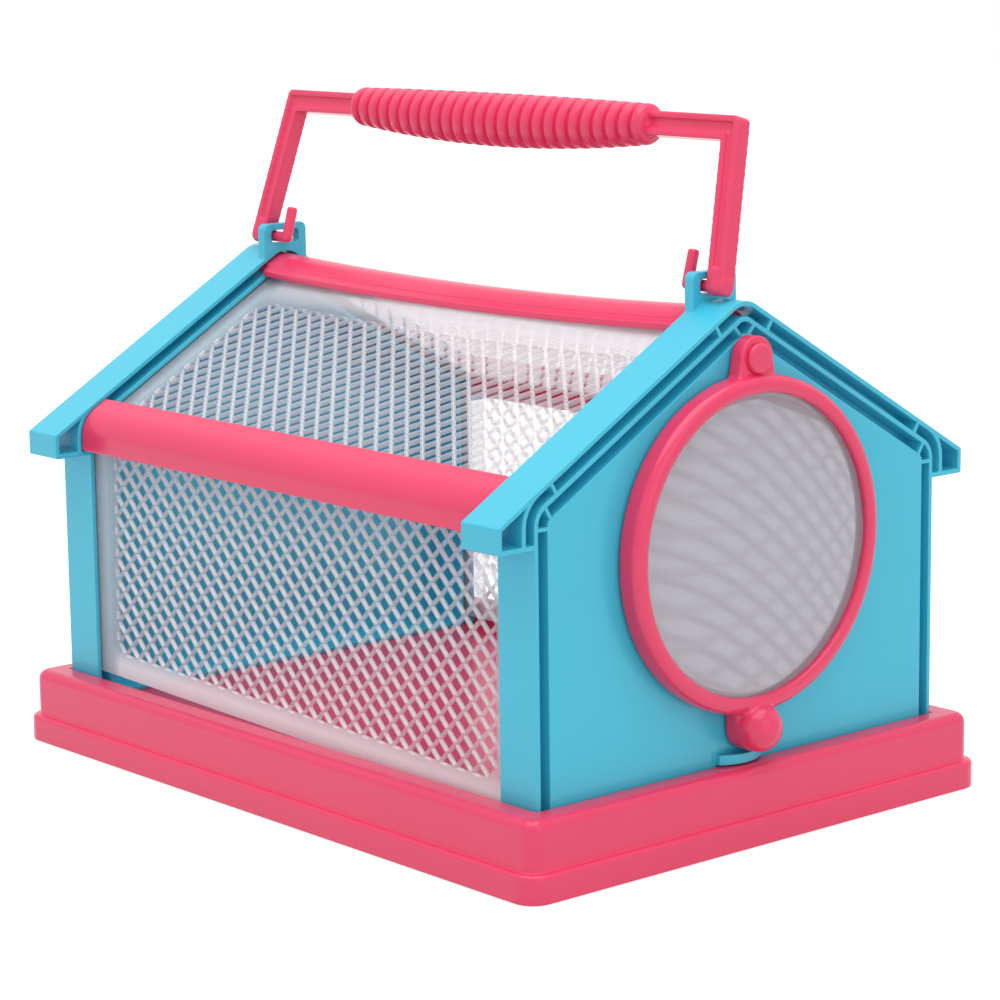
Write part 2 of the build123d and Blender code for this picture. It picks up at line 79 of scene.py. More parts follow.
class StageSettings(bpy.types.PropertyGroup):
    """Camera, lamps and background."""

    camera_place: bpy.props.FloatVectorProperty(
        name="Camera place",
        description="Where the camera stands, with the box at the origin",
        default=(-0.48083, -0.56885, 0.20178),
        unit="LENGTH",
        subtype="XYZ",
    )
    camera_yaw: bpy.props.FloatProperty(
        name="Camera yaw",
        description="How far the view turns from +Y towards +X",
        default=math.radians(40.51),
        unit="ROTATION",
        subtype="ANGLE",
    )
    camera_pitch: bpy.props.FloatProperty(
        name="Camera pitch",
        description="How far the view tips down",
        default=math.radians(10.54),
        unit="ROTATION",
        subtype="ANGLE",
    )
    camera_roll: bpy.props.FloatProperty(
        name="Camera roll",
        description="How far the camera leans to its right",
        default=math.radians(-0.73),
        unit="ROTATION",
        subtype="ANGLE",
    )
    focal_length: bpy.props.FloatProperty(
        name="Focal length",
        description="Focal length in millimetres on a 36 mm wide sensor",
        default=115.79,
        unit="CAMERA",
    )
    ambient: bpy.props.FloatProperty(
        name="Ambient light",
        description="Strength of the even light from all round",
        default=0.72,
        subtype="FACTOR",
    )
    top_power: bpy.props.FloatProperty(
        name="Top lamp", description="Power of the overhead softbox", default=5.5, unit="POWER"
    )
    front_power: bpy.props.FloatProperty(
        name="Front lamp", description="Power of the softbox in front of the door", default=0.9, unit="POWER"
    )
    side_power: bpy.props.FloatProperty(
        name="Side lamp", description="Power of the softbox on the left", default=0.3, unit="POWER"
    )
    floor_size: bpy.props.FloatProperty(
        name="Floor size", description="Length of the floor's sides", default=5.0, unit="LENGTH"
    )
    floor_glow: bpy.props.FloatProperty(
        name="Floor lift",
        description="How much the camera sees the floor lifted towards white",
        default=0.6,
        subtype="FACTOR",
    )


class FinishSettings(bpy.types.PropertyGroup):
    """Colours of the plastics and how soft their moulded edges are."""

    pink: bpy.props.FloatVectorProperty(
        name="Pink plastic",
        description="Colour of the tray, rails, door ring and handle",
        default=(0.84, 0.05, 0.142),
        subtype="COLOR",
    )
    blue: bpy.props.FloatVectorProperty(
        name="Blue plastic",
        description="Colour of the two end walls",
        default=(0.055, 0.54, 0.73),
        subtype="COLOR",
    )
    net: bpy.props.FloatVectorProperty(
        name="Net plastic",
        description="Colour of the milky net panels",
        default=(0.93, 0.93, 0.98),
        subtype="COLOR",
    )
    lens: bpy.props.FloatVectorProperty(
        name="Lens plastic",
        description="Tint of the half milky lens",
        default=(0.53, 0.515, 0.565),
        subtype="COLOR",
    )
    wall_edge: bpy.props.FloatProperty(
        name="Wall edges", description="Roundness of the end walls' edges", default=0.2 * MM, unit="LENGTH"
    )
    tray_edge: bpy.props.FloatProperty(
        name="Tray edges", description="Roundness of the tray's edges", default=0.45 * MM, unit="LENGTH"
    )
    rail_edge: bpy.props.FloatProperty(
        name="Rail edges", description="Roundness of the rails' edges", default=0.3 * MM, unit="LENGTH"
    )
    small_edge: bpy.props.FloatProperty(
        name="Small edges", description="Roundness of the pin's edges", default=0.3 * MM, unit="LENGTH"
    )


class NetSettings(bpy.types.PropertyGroup):
    """The diamond net of the sides and roof."""

    pitch_along: bpy.props.FloatProperty(
        name="Pitch along", description="Diamond to diamond along the box", default=5.4 * MM, unit="LENGTH"
    )
    pitch_up: bpy.props.FloatProperty(
        name="Pitch up", description="Diamond to diamond up the panel", default=5.2 * MM, unit="LENGTH"
    )
    strand: bpy.props.FloatProperty(
        name="Strand", description="Width of the flat between two holes", default=0.36 * MM, unit="LENGTH"
    )
    rim: bpy.props.FloatProperty(
        name="Rim", description="How far the rounded rim stands into a hole", default=0.3 * MM, unit="LENGTH"
    )
    hole_round: bpy.props.FloatProperty(
        name="Hole corners", description="Corner radius of a hole", default=0.3 * MM, unit="LENGTH"
    )
    front_border: bpy.props.FloatProperty(
        name="Front border", description="Plain strip at a panel's door end", default=4.6 * MM, unit="LENGTH"
    )
    back_border: bpy.props.FloatProperty(
        name="Back border", description="Plain strip at a panel's far end", default=11.9 * MM, unit="LENGTH"
    )
    foot_border: bpy.props.FloatProperty(
        name="Foot border",
        description="Plain strip along a side panel's foot",
        default=5.6 * MM,
        unit="LENGTH",
    )
    ridge_border: bpy.props.FloatProperty(
        name="Ridge border", description="Plain strip along the ridge", default=9.4 * MM, unit="LENGTH"
    )
    eave_border: bpy.props.FloatProperty(
        name="Eave border", description="Plain strip hidden by the eave rail", default=1.6 * MM, unit="LENGTH"
    )
    left_foot_front: bpy.props.FloatProperty(
        name="Left foot, front",
        description="Height of the left side panel's foot at the door end",
        default=14.6 * MM,
        unit="LENGTH",
    )
    left_foot_back: bpy.props.FloatProperty(
        name="Left foot, back",
        description="Height of the left side panel's foot at the far end",
        default=18.8 * MM,
        unit="LENGTH",
    )
    left_height: bpy.props.FloatProperty(
        name="Left height", description="Height of the left side panel", default=60.3 * MM, unit="LENGTH"
    )
    ridge_sag: bpy.props.FloatProperty(
        name="Ridge sag", description="How far the ridge sags half way along", default=2.3 * MM, unit="LENGTH"
    )


class DoorSettings(bpy.types.PropertyGroup):
    """The magnifier door."""

    melt: bpy.props.FloatProperty(
        name="Ring softness",
        description="Voxel size that rounds the ring's edges",
        default=0.36 * MM,
        unit="LENGTH",
    )
    lens_edge: bpy.props.FloatProperty(
        name="Lens edge", description="Thickness of the lens's edge", default=1.6 * MM, unit="LENGTH"
    )
    lens_rim: bpy.props.FloatProperty(
        name="Lens rim", description="Width of the flat rim round the dome", default=1.2 * MM, unit="LENGTH"
    )
    lens_front_rise: bpy.props.FloatProperty(
        name="Front rise", description="Height of the lens's front dome", default=2.2 * MM, unit="LENGTH"
    )
    lens_back_rise: bpy.props.FloatProperty(
        name="Back rise", description="Height of the lens's back dome", default=1.1 * MM, unit="LENGTH"
    )


class HandleSettings(bpy.types.PropertyGroup):
    """The carry handle's ribbed grip."""

    tilt: bpy.props.FloatProperty(
        name="Tilt",
        description="How far the handle leans at rest",
        default=math.radians(14.9),
        subtype="ANGLE",
    )
    bar_middle: bpy.props.FloatProperty(
        name="Bar height", description="Hinge to the middle of the bar", default=34.1 * MM, unit="LENGTH"
    )
    grip_length: bpy.props.FloatProperty(
        name="Grip length", description="Length of the ribbed grip", default=104.6 * MM, unit="LENGTH"
    )
    ribs: bpy.props.IntProperty(name="Ribs", description="Number of ribs on the grip", default=26, min=3)
    rib_depth: bpy.props.FloatProperty(
        name="Rib depth", description="Depth of the grooves between ribs", default=1.9 * MM, unit="LENGTH"
    )
    top_rise: bpy.props.FloatProperty(
        name="Top rise", description="Bar's middle to the grip's top", default=4.9 * MM, unit="LENGTH"
    )
    end_drop: bpy.props.FloatProperty(
        name="End drop",
        description="Bar's middle to the grip's underside at its ends",
        default=4.6 * MM,
        unit="LENGTH",
    )
    belly_drop: bpy.props.FloatProperty(
        name="Belly drop",
        description="Bar's middle to the grip's underside half way",
        default=7.6 * MM,
        unit="LENGTH",
    )
    half_thickness: bpy.props.FloatProperty(
        name="Half thickness", description="Half the grip's thickness", default=5.0 * MM, unit="LENGTH"
    )
    bar_shows: bpy.props.FloatProperty(
        name="Bar start",
        description="Gap from the grip's end to the bail's own bar",
        default=0.4 * MM,
        unit="LENGTH",
    )
    bar_hidden: bpy.props.FloatProperty(
        name="Bar hidden",
        description="How far the bar runs on inside the grip",
        default=9.0 * MM,
        unit="LENGTH",
    )
    end_dome: bpy.props.FloatProperty(
        name="End dome", description="Length of the grip's rounded ends", default=2.6 * MM, unit="LENGTH"
    )
    melt: bpy.props.FloatProperty(
        name="Bail softness",
        description="Voxel size that rounds the bail's edges",
        default=0.28 * MM,
        unit="LENGTH",
    )


SETTINGS = {
    "bug_box_stage": StageSettings,
    "bug_box_finish": FinishSettings,
    "bug_box_net": NetSettings,
    "bug_box_door": DoorSettings,
    "bug_box_handle": HandleSettings,
}


# Node graphs


class Value:
    """A node's output that adds Math nodes when it is used in an expression."""

    def __init__(self, tree, socket):
        self.tree = tree
        self.socket = socket

    def math(self, operation, *others, first=None):
        node = self.tree.nodes.new("ShaderNodeMath")
        node.operation = operation
        items = (self, *others) if first is None else (first, self)
        for index, item in enumerate(items):
            feed(self.tree, node.inputs[index], item)
        return Value(self.tree, node.outputs[0])

    def __add__(self, other):
        return self.math("ADD", other)

    __radd__ = __add__

    def __sub__(self, other):
        return self.math("SUBTRACT", other)

    def __rsub__(self, other):
        return self.math("SUBTRACT", first=other)

    def __mul__(self, other):
        return self.math("MULTIPLY", other)

    __rmul__ = __mul__

    def __truediv__(self, other):
        return self.math("DIVIDE", other)

    def __rtruediv__(self, other):
        return self.math("DIVIDE", first=other)

    def __pow__(self, other):
        return self.math("POWER", other)

    def clamped(self):
        """The value kept between 0 and 1."""
        return self.math("MAXIMUM", 0.0).math("MINIMUM", 1.0)


def feed(tree, socket, item):
    """Link a Value into a socket, or set the socket to a plain value."""
    if isinstance(item, Value):
        tree.links.new(item.socket, socket)
    else:
        socket.default_value = item


class Graph:
    """A node tree with one way to add any node."""

    def __init__(self, tree):
        self.tree = tree

    def add(self, kind, settings=None, inputs=None, output=0):
        """Add a node, set it up, feed its sockets and return one output, or the node if output is None."""
        node = self.tree.nodes.new(kind)
        for name, value in (settings or {}).items():
            setattr(node, name, value)
        for key, item in (inputs or {}).items():
            several = item if isinstance(item, list) else [item]
            for one in several:
                feed(self.tree, node.inputs[key], one)
        return node if output is None or not node.outputs else Value(self.tree, node.outputs[output])

    def point(self, x=0.0, y=0.0, z=0.0):
        return self.add("ShaderNodeCombineXYZ", inputs={"X": x, "Y": y, "Z": z})

    def axes(self, vector):
        node = self.add("ShaderNodeSeparateXYZ", inputs={"Vector": vector}, output=None)
        return [Value(self.tree, socket) for socket in node.outputs]

    def vector(self, operation, first, second=None, scale=None):
        inputs = {0: first}
        if second is not None:
            inputs[1] = second
        if scale is not None:
            inputs["Scale"] = scale
        return self.add("ShaderNodeVectorMath", {"operation": operation}, inputs)

    def blend(self, share, first, second):
        """Mix two colours."""
        return self.add("ShaderNodeMix", {"data_type": "RGBA"}, {0: share, 6: first, 7: second}, output=2)

    def named(self, name, data_type):
        """Read a mesh's attribute in a Geometry Nodes tree."""
        return self.add("GeometryNodeInputNamedAttribute", {"data_type": data_type}, {"Name": name})

    def store(self, geometry, name, value, data_type, domain="POINT"):
        """Keep a value on a mesh under a name in a Geometry Nodes tree."""
        return self.add(
            "GeometryNodeStoreNamedAttribute",
            {"data_type": data_type, "domain": domain},
            {"Geometry": geometry, "Name": name, "Value": value},
        )

    def moved(self, geometry, offset):
        """Move a mesh in a Geometry Nodes tree."""
        return self.add("GeometryNodeTransform", inputs={"Geometry": geometry, "Translation": offset})


# Materials


def new_material(name):
    material = bpy.data.materials.new(name)
    material.use_nodes = True
    material.node_tree.nodes.clear()
    return material, Graph(material.node_tree)


def colour4(colour, gain=1.0):
    """A colour with its alpha, made brighter or darker by a gain."""
    return (*[min(1.0, channel * gain) for channel in colour], 1.0)


def noise(graph, coordinates, size, detail=2.0, roughness=0.5):
    """Noise of a given feature size in metres, between 0 and 1."""
    return graph.add(
        "ShaderNodeTexNoise",
        inputs={"Vector": coordinates, "Scale": 1.0 / size, "Detail": detail, "Roughness": roughness},
    )


def moulded_plastic(name, colour, gloss, cloudiness=0.035):
    """Glossy injection-moulded plastic: faint clouding, a slightly uneven gloss and orange-peel skin."""
    material, graph = new_material(name)
    place = graph.add("ShaderNodeTexCoord", output=3)
    cloud_size = 34 * MM
    smudge_size = 9 * MM
    hairline_size = 0.9 * MM
    hairline_stretch = (0.3, 1.0, 1.6)
    wave_size = 8 * MM
    peel_size = 0.8 * MM
    skin_depth = 0.1 * MM
    clouds = noise(graph, place, cloud_size, detail=3.0)
    tint = graph.blend(clouds, colour4(colour, 1.0 - cloudiness), colour4(colour, 1.0 + cloudiness))
    smudges = noise(graph, place, smudge_size, detail=5.0, roughness=0.62)
    stretched = graph.add("ShaderNodeMapping", inputs={"Vector": place, "Scale": hairline_stretch})
    hairlines = noise(graph, stretched, hairline_size, detail=3.0)
    roughness = gloss + 0.07 * smudges + 0.015 * hairlines
    waves = noise(graph, place, wave_size, detail=1.0)
    peel = noise(graph, place, peel_size, detail=2.0)
    skin = graph.add(
        "ShaderNodeBump",
        inputs={"Strength": 0.1, "Distance": skin_depth, "Height": 0.9 * waves + 0.1 * peel},
    )
    surface = graph.add(
        "ShaderNodeBsdfPrincipled",
        inputs={
            "Base Color": tint,
            "Roughness": roughness,
            "IOR": 1.5,
            "Specular IOR Level": 0.42,
            "Normal": skin,
        },
    )
    graph.add("ShaderNodeOutputMaterial", inputs={"Surface": surface})
    return material


def milky_net(name, colour):
    """Translucent milky plastic: the strands let colour through, the strips are denser, and the rims are
    denser and whiter as a painted highlight.
    """
    material, graph = new_material(name)
    place = graph.add("ShaderNodeTexCoord", output=3)
    x, y, z = graph.axes(place)
    foot_top = 24.0 * MM
    foot_climb = 0.026
    foot_fade = 4.0 * MM
    ridge_start = 105.0 * MM
    ridge_fade = 5.0 * MM
    far_start = 67.5 * MM
    far_fade = 3.0 * MM
    foot = ((foot_top + foot_climb * y - z) / foot_fade).clamped()
    ridge = ((z - ridge_start) / ridge_fade).clamped()
    far_end = ((y - far_start) / far_fade).clamped()
    strip = (foot + ridge) * (1.0 - far_end) + 0.2 * far_end
    # Painted highlight: the rim value read here whitens the hole rims and makes them denser, standing in for
    # glints of the lamps on the rounded strands.
    rim = graph.add("ShaderNodeAttribute", {"attribute_name": "rim"}, output=2)
    haze_size = 6 * MM
    ripple_size = 1.4 * MM
    ripple_depth = 0.12 * MM
    haze = noise(graph, place, haze_size, detail=4.0, roughness=0.6)
    ripple = noise(graph, place, ripple_size, detail=3.0)
    # In the whitening and the density, the haze share is random tone and the rim share is painted highlight.
    tint = graph.blend(0.35 * haze + 0.65 * rim, colour4(colour), colour4(colour, 1.16))
    density = 0.15 + 0.07 * haze + 0.3 * rim + 0.45 * strip
    skin = graph.add("ShaderNodeBump", inputs={"Strength": 0.15, "Distance": ripple_depth, "Height": ripple})
    surface = graph.add(
        "ShaderNodeBsdfPrincipled",
        inputs={
            "Base Color": tint,
            "Roughness": 0.26 + 0.12 * haze,
            "IOR": 1.49,
            "Alpha": density,
            "Normal": skin,
        },
    )
    graph.add("ShaderNodeOutputMaterial", inputs={"Surface": surface})
    return material


def clear_lens(name, colour):
    """Polished acrylic, tinted and half milky, with a faint waviness from moulding."""
    material, graph = new_material(name)
    place = graph.add("ShaderNodeTexCoord", output=3)
    wave_size = 11 * MM
    smear_size = 18 * MM
    wave_depth = 0.1 * MM
    waves = noise(graph, place, wave_size, detail=1.0)
    smears = noise(graph, place, smear_size, detail=4.0, roughness=0.6)
    skin = graph.add("ShaderNodeBump", inputs={"Strength": 0.12, "Distance": wave_depth, "Height": waves})
    surface = graph.add(
        "ShaderNodeBsdfPrincipled",
        inputs={
            "Base Color": colour4(colour),
            "Roughness": 0.025 + 0.03 * smears,
            "IOR": 1.49,
            "Transmission Weight": 0.5,
            "Normal": skin,
        },
    )
    graph.add("ShaderNodeOutputMaterial", inputs={"Surface": surface})
    return material


def seen_by_camera(graph):
    """One for what is seen straight, in a reflection or through the lens, and zero for light on the box."""
    rays = graph.add("ShaderNodeLightPath", output=None)
    kinds = ("Is Camera Ray", "Is Glossy Ray", "Is Transmission Ray")
    straight, mirrored, through = [Value(graph.tree, rays.outputs[kind]) for kind in kinds]
    return (straight + mirrored + through).math("MINIMUM", 1.0)


def pale_floor(name, lift):
    """White floor that keeps shadows; the camera sees it lifted towards white."""
    material, graph = new_material(name)
    glow = graph.blend(seen_by_camera(graph), (0.0, 0.0, 0.0, 1.0), (1.0, 1.0, 1.0, 1.0))
    surface = graph.add(
        "ShaderNodeBsdfPrincipled",
        inputs={
            "Base Color": (0.7, 0.7, 0.705, 1.0),
            "Roughness": 0.9,
            "Specular IOR Level": 0.1,
            "Emission Color": glow,
            "Emission Strength": lift,
        },
    )
    graph.add("ShaderNodeOutputMaterial", inputs={"Surface": surface})
    return material


# Making pieces


def finish():
    return bpy.context.scene.bug_box_finish


def link(name, mesh):
    """A new piece in the scene, made of this mesh."""
    piece = bpy.data.objects.new(name, mesh)
    bpy.context.scene.collection.objects.link(piece)
    return piece


def settle(piece):
    """Keep the piece's evaluated shape as its plain mesh and take its modifiers off."""
    bpy.context.view_layer.update()
    shape = piece.evaluated_get(bpy.context.evaluated_depsgraph_get())
    old = piece.data
    fresh = bpy.data.meshes.new_from_object(shape)
    piece.modifiers.clear()
    piece.data = fresh
    fresh.name = piece.name
    if old.users == 0:
        bpy.data.meshes.remove(old)
    return piece


def merged_copy(node, name):
    """A joined-up copy of a CAD node, with its triangles paired into quads."""
    piece = link(name, frame["nodes"][node].data.copy())
    piece.data.materials.clear()
    shape = bmesh.new()
    shape.from_mesh(piece.data)
    bmesh.ops.remove_doubles(shape, verts=shape.verts, dist=MERGE_DISTANCE)
    bmesh.ops.dissolve_degenerate(shape, edges=shape.edges, dist=SHORTEST_EDGE)
    bmesh.ops.join_triangles(
        shape, faces=shape.faces, angle_face_threshold=FLAT_ANGLE, angle_shape_threshold=math.pi
    )
    shape.to_mesh(piece.data)
    shape.free()
    return piece


def round_edges(piece, radius, segments=2):
    """Round the piece's sharp edges and shade its flats flat."""
    bevel = piece.modifiers.new("edges", "BEVEL")
    bevel.width = radius
    bevel.segments = segments
    bevel.limit_method = "ANGLE"
    bevel.angle_limit = BEVEL_ANGLE
    bevel.use_clamp_overlap = False
    bevel.loop_slide = False
    weighted = piece.modifiers.new("flats", "WEIGHTED_NORMAL")
    weighted.keep_sharp = True
    for face in piece.data.polygons:
        face.use_smooth = True
    return settle(piece)


def melt(piece, voxel):
    """Soften every edge of the piece at once, as a worn mould leaves them."""
    remesh = piece.modifiers.new("melt", "REMESH")
    remesh.mode = "VOXEL"
    remesh.voxel_size = voxel
    remesh.use_smooth_shade = True
    relax = piece.modifiers.new("relax", "SMOOTH")
    relax.factor = 0.5
    relax.iterations = 6
    settle(piece)
    for face in piece.data.polygons:
        face.use_smooth = True
    return piece


def cut_across(piece, count):
    """Cut the piece into short lengths along Y so that it can bend."""
    low = min(vertex.co.y for vertex in piece.data.vertices)
    high = max(vertex.co.y for vertex in piece.data.vertices)
    shape = bmesh.new()
    shape.from_mesh(piece.data)
    for step in range(1, count):
        everything = shape.verts[:] + shape.edges[:] + shape.faces[:]
        place = Vector((0, low + (high - low) * step / count, 0))
        bmesh.ops.bisect_plane(shape, geom=everything, plane_co=place, plane_no=(0, 1, 0))
    shape.to_mesh(piece.data)
    shape.free()
    return piece


def outward(piece):
    """Merge doubles and point every face outwards."""
    shape = bmesh.new()
    shape.from_mesh(piece.data)
    bmesh.ops.remove_doubles(shape, verts=shape.verts, dist=MERGE_DISTANCE)
    bmesh.ops.recalc_face_normals(shape, faces=shape.faces)
    shape.to_mesh(piece.data)
    shape.free()
    return piece


def smooth_below(piece, degrees):
    """Shade the piece smooth, with sharp edges above an angle."""
    for face in piece.data.polygons:
        face.use_smooth = True
    piece.data.set_sharp_from_angle(angle=math.radians(degrees))
    return piece


def dress(piece, material, slot, body, *nodes):
    """Give a finished piece its material and its body, and hide the CAD nodes that it stands for; the slot is
    not used.
    """
    piece.data.materials.clear()
    piece.data.materials.append(material)
    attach(piece, body)
    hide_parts(*nodes)
    return piece


def material_for(slot):
    """The finish of a record slot, made once."""
    name = slot + "_finish"
    found = bpy.data.materials.get(name)
    if found:
        return found
    look = finish()
    if slot == "pink_plastic":
        return moulded_plastic(name, look.pink, gloss=0.16)
    if slot == "blue_plastic":
        return moulded_plastic(name, look.blue, gloss=0.2)
    if slot == "clear_net":
        return milky_net(name, look.net)
    return clear_lens(name, look.lens)


def soft_node(node, slot, body, radius):
    """A CAD node with rounded edges and its finish."""
    piece = round_edges(merged_copy(node, node + "_moulding"), radius)
    return dress(piece, material_for(slot), slot, body, node)


def sag(piece, depth, half_length, half_width):
    """Lower the piece towards the middle of the ridge, fading out towards the eaves and both ends."""
    for vertex in piece.data.vertices:
        along = min(1.0, abs(vertex.co.y) / half_length)
        across = min(1.0, abs(vertex.co.x) / half_width)
        vertex.co.z -= depth * (1.0 - along**2) * (1.0 - across)
    return piece


# Geometry Nodes trees


def make_group(name, inputs):
    """A Geometry Nodes tree with named inputs; returns its graph, its input Values and its output node."""
    tree = bpy.data.node_groups.new(name, "GeometryNodeTree")
    tree.is_modifier = True
    tree.interface.new_socket("Geometry", in_out="OUTPUT", socket_type="NodeSocketGeometry")
    for label, kind in inputs:
        tree.interface.new_socket(label, in_out="INPUT", socket_type="NodeSocket" + kind)
    graph = Graph(tree)
    group_input = graph.add("NodeGroupInput", output=None)
    values = {label: Value(tree, group_input.outputs[label]) for label, kind in inputs}
    group_output = graph.add("NodeGroupOutput", output=None)
    return graph, values, group_output


def run_group(name, tree, values):
    """Evaluate a Geometry Nodes tree with these named values and return the plain mesh as a piece."""
    piece = link(name, bpy.data.meshes.new(name))
    modifier = piece.modifiers.new("build", "NODES")
    modifier.node_group = tree
    for item in tree.interface.items_tree:
        if item.in_out == "INPUT" and item.name in values:
            modifier[item.identifier] = values[item.name]
    return settle(piece)


# Diamond net


def hole_walls(graph, outline, profile, half_thickness):
    """Walls through the sheet along outlines: profile lists how far in and how high each ring lies."""
    place = graph.add("GeometryNodeInputPosition")
    kept = graph.named("outline", "FLOAT_VECTOR")
    inward = graph.named("inward", "FLOAT_VECTOR")
    leftward = graph.vector("CROSS_PRODUCT", graph.point(z=1.0), graph.add("GeometryNodeInputTangent"))
    turned = graph.store(outline, "inward", leftward, "FLOAT_VECTOR")
    edges = graph.add("GeometryNodeCurveToMesh", inputs={"Curve": turned})
    walls = graph.store(edges, "outline", place, "FLOAT_VECTOR")
    top = True
    for step, (reach, height) in enumerate(profile):
        if step:
            grown = graph.add(
                "GeometryNodeExtrudeMesh",
                {"mode": "EDGES"},
                {"Mesh": walls, "Selection": top, "Offset Scale": 0.0},
                output=None,
            )
            walls = Value(graph.tree, grown.outputs["Mesh"])
            top = Value(graph.tree, grown.outputs["Top"])
        aside = graph.vector("SCALE", inward, scale=reach)
        level = graph.point(z=half_thickness * height)
        walls = graph.add(
            "GeometryNodeSetPosition",
            inputs={
                "Geometry": walls,
                "Selection": top,
                "Position": graph.vector("ADD", graph.vector("ADD", kept, aside), level),
            },
        )
    return walls


def diamond(graph, half_width, half_height, rounding, right=1.0, top=1.0, left=1.0, bottom=1.0):
    """A rounded diamond outline, each of whose four corners can be drawn in towards its middle."""
    corners = graph.add(
        "GeometryNodeCurvePrimitiveQuadrilateral",
        {"mode": "POINTS"},
        {
            "Point 1": graph.point(x=half_width * right),
            "Point 2": graph.point(y=half_height * top),
            "Point 3": graph.point(x=half_width * -left),
            "Point 4": graph.point(y=half_height * -bottom),
        },
    )
    return graph.add(
        "GeometryNodeFilletCurve",
        {"mode": "POLY"},
        {"Curve": corners, "Count": 2, "Radius": rounding, "Limit Radius": True},
    )


def diamond_net_tree():
    """A flat sheet in its own XY plane with rounded diamond holes whose rims are half-round and carry a
    painted highlight value, full on the strands running one way and about a third on the others.
    """
    graph, value, result = make_group(
        "diamond_net",
        [
            ("Length", "Float"),
            ("Height", "Float"),
            ("Thickness", "Float"),
            ("Field Place", "Vector"),
            ("Columns", "Int"),
            ("Rows", "Int"),
            ("Pitch Along", "Float"),
            ("Pitch Up", "Float"),
            ("Hole Width", "Float"),
            ("Hole Height", "Float"),
            ("Hole Round", "Float"),
            ("Rim", "Float"),
            ("Material", "Material"),
        ],
    )
    half_along = value["Pitch Along"] / 2.0
    half_up = value["Pitch Up"] / 2.0
    half_width = value["Hole Width"] / 2.0
    half_height = value["Hole Height"] / 2.0
    cuts = [{}, {"bottom": CUT_HOLE}, {"top": CUT_HOLE}, {"left": CUT_HOLE}, {"right": CUT_HOLE}]
    outlines = [diamond(graph, half_width, half_height, value["Hole Round"], **cut) for cut in cuts]
    shapes = graph.add("GeometryNodeGeometryToInstance", inputs={"Geometry": outlines[::-1]})
    lattice = graph.add(
        "GeometryNodeMeshGrid",
        inputs={
            "Size X": (value["Columns"] - 1.0) * half_along,
            "Size Y": (value["Rows"] - 1.0) * half_up,
            "Vertices X": value["Columns"],
            "Vertices Y": value["Rows"],
        },
    )
    x, y, z = graph.axes(graph.add("GeometryNodeInputPosition"))
    column = (x / half_along + (value["Columns"] - 1.0) / 2.0).math("ROUND")
    row = (y / half_up + (value["Rows"] - 1.0) / 2.0).math("ROUND")
    odd = (column + row).math("MODULO", 2.0).math("GREATER_THAN", 0.5)
    at_foot = 1.0 - row.math("MINIMUM", 1.0)
    at_top = (row - (value["Rows"] - 1.5)).math("GREATER_THAN", 0.0)
    at_start = 1.0 - column.math("MINIMUM", 1.0)
    at_end = (column - (value["Columns"] - 1.5)).math("GREATER_THAN", 0.0)
    corner = (at_foot + at_top + at_start + at_end).math("GREATER_THAN", 1.5)
    shape_index = at_foot + at_top * 2.0 + at_start * 3.0 + at_end * 4.0
    numbered = graph.store(lattice, "shape", shape_index, "INT")
    places = graph.add(
        "GeometryNodeDeleteGeometry",
        {"domain": "POINT"},
        {"Geometry": numbered, "Selection": odd.math("MAXIMUM", corner)},
    )
    points = graph.add(
        "GeometryNodeMeshToPoints", inputs={"Mesh": graph.moved(places, value["Field Place"])}
    )
    copies = graph.add(
        "GeometryNodeInstanceOnPoints",
        inputs={
            "Points": points,
            "Instance": shapes,
            "Pick Instance": True,
            "Instance Index": graph.named("shape", "INT"),
        },
    )
    holes = graph.add("GeometryNodeRealizeInstances", inputs={"Geometry": copies})
    border = graph.add(
        "GeometryNodeCurvePrimitiveQuadrilateral",
        {"mode": "RECTANGLE"},
        {"Width": value["Length"], "Height": value["Height"]},
    )
    every_outline = graph.add("GeometryNodeJoinGeometry", inputs={"Geometry": [border, holes]})
    sheet = graph.add("GeometryNodeFillCurve", {"mode": "TRIANGLES"}, {"Curve": every_outline})
    half_thickness = value["Thickness"] / 2.0
    front = graph.moved(sheet, graph.point(z=half_thickness))
    back = graph.moved(sheet, graph.point(z=0.0 - half_thickness))
    rim = value["Rim"]
    shoulder = rim * 0.62
    half_round = [(0.0, 1.0), (shoulder, 0.72), (rim, 0.2), (rim, -0.2), (shoulder, -0.72), (0.0, -1.0)]
    # Painted highlight: each rim gets a glint value that the net's finish turns into whiter, denser rims. It
    # is full where the strands run one way and about a third where they run the other, as if lit from one
    # side.
    aim_x, aim_y, aim_z = graph.axes(graph.named("inward", "FLOAT_VECTOR"))
    glinting_strands = (aim_x * aim_y).math("LESS_THAN", -0.1)
    painted_glint = 0.35 + 0.65 * glinting_strands
    walls = hole_walls(graph, holes, half_round, half_thickness)
    rims = graph.store(walls, "rim", painted_glint, "FLOAT", "FACE")
    edge = hole_walls(graph, border, [(0.0, 1.0), (0.0, -1.0)], half_thickness)
    whole = graph.add("GeometryNodeJoinGeometry", inputs={"Geometry": [front, back, rims, edge]})
    joined = graph.add("GeometryNodeMergeByDistance", inputs={"Geometry": whole, "Distance": WELD_DISTANCE})
    real = graph.add("GeometryNodeRealizeInstances", inputs={"Geometry": joined})
    finished = graph.add("GeometryNodeSetMaterial", inputs={"Geometry": real, "Material": value["Material"]})
    feed(graph.tree, result.inputs[0], finished)
    return graph.tree


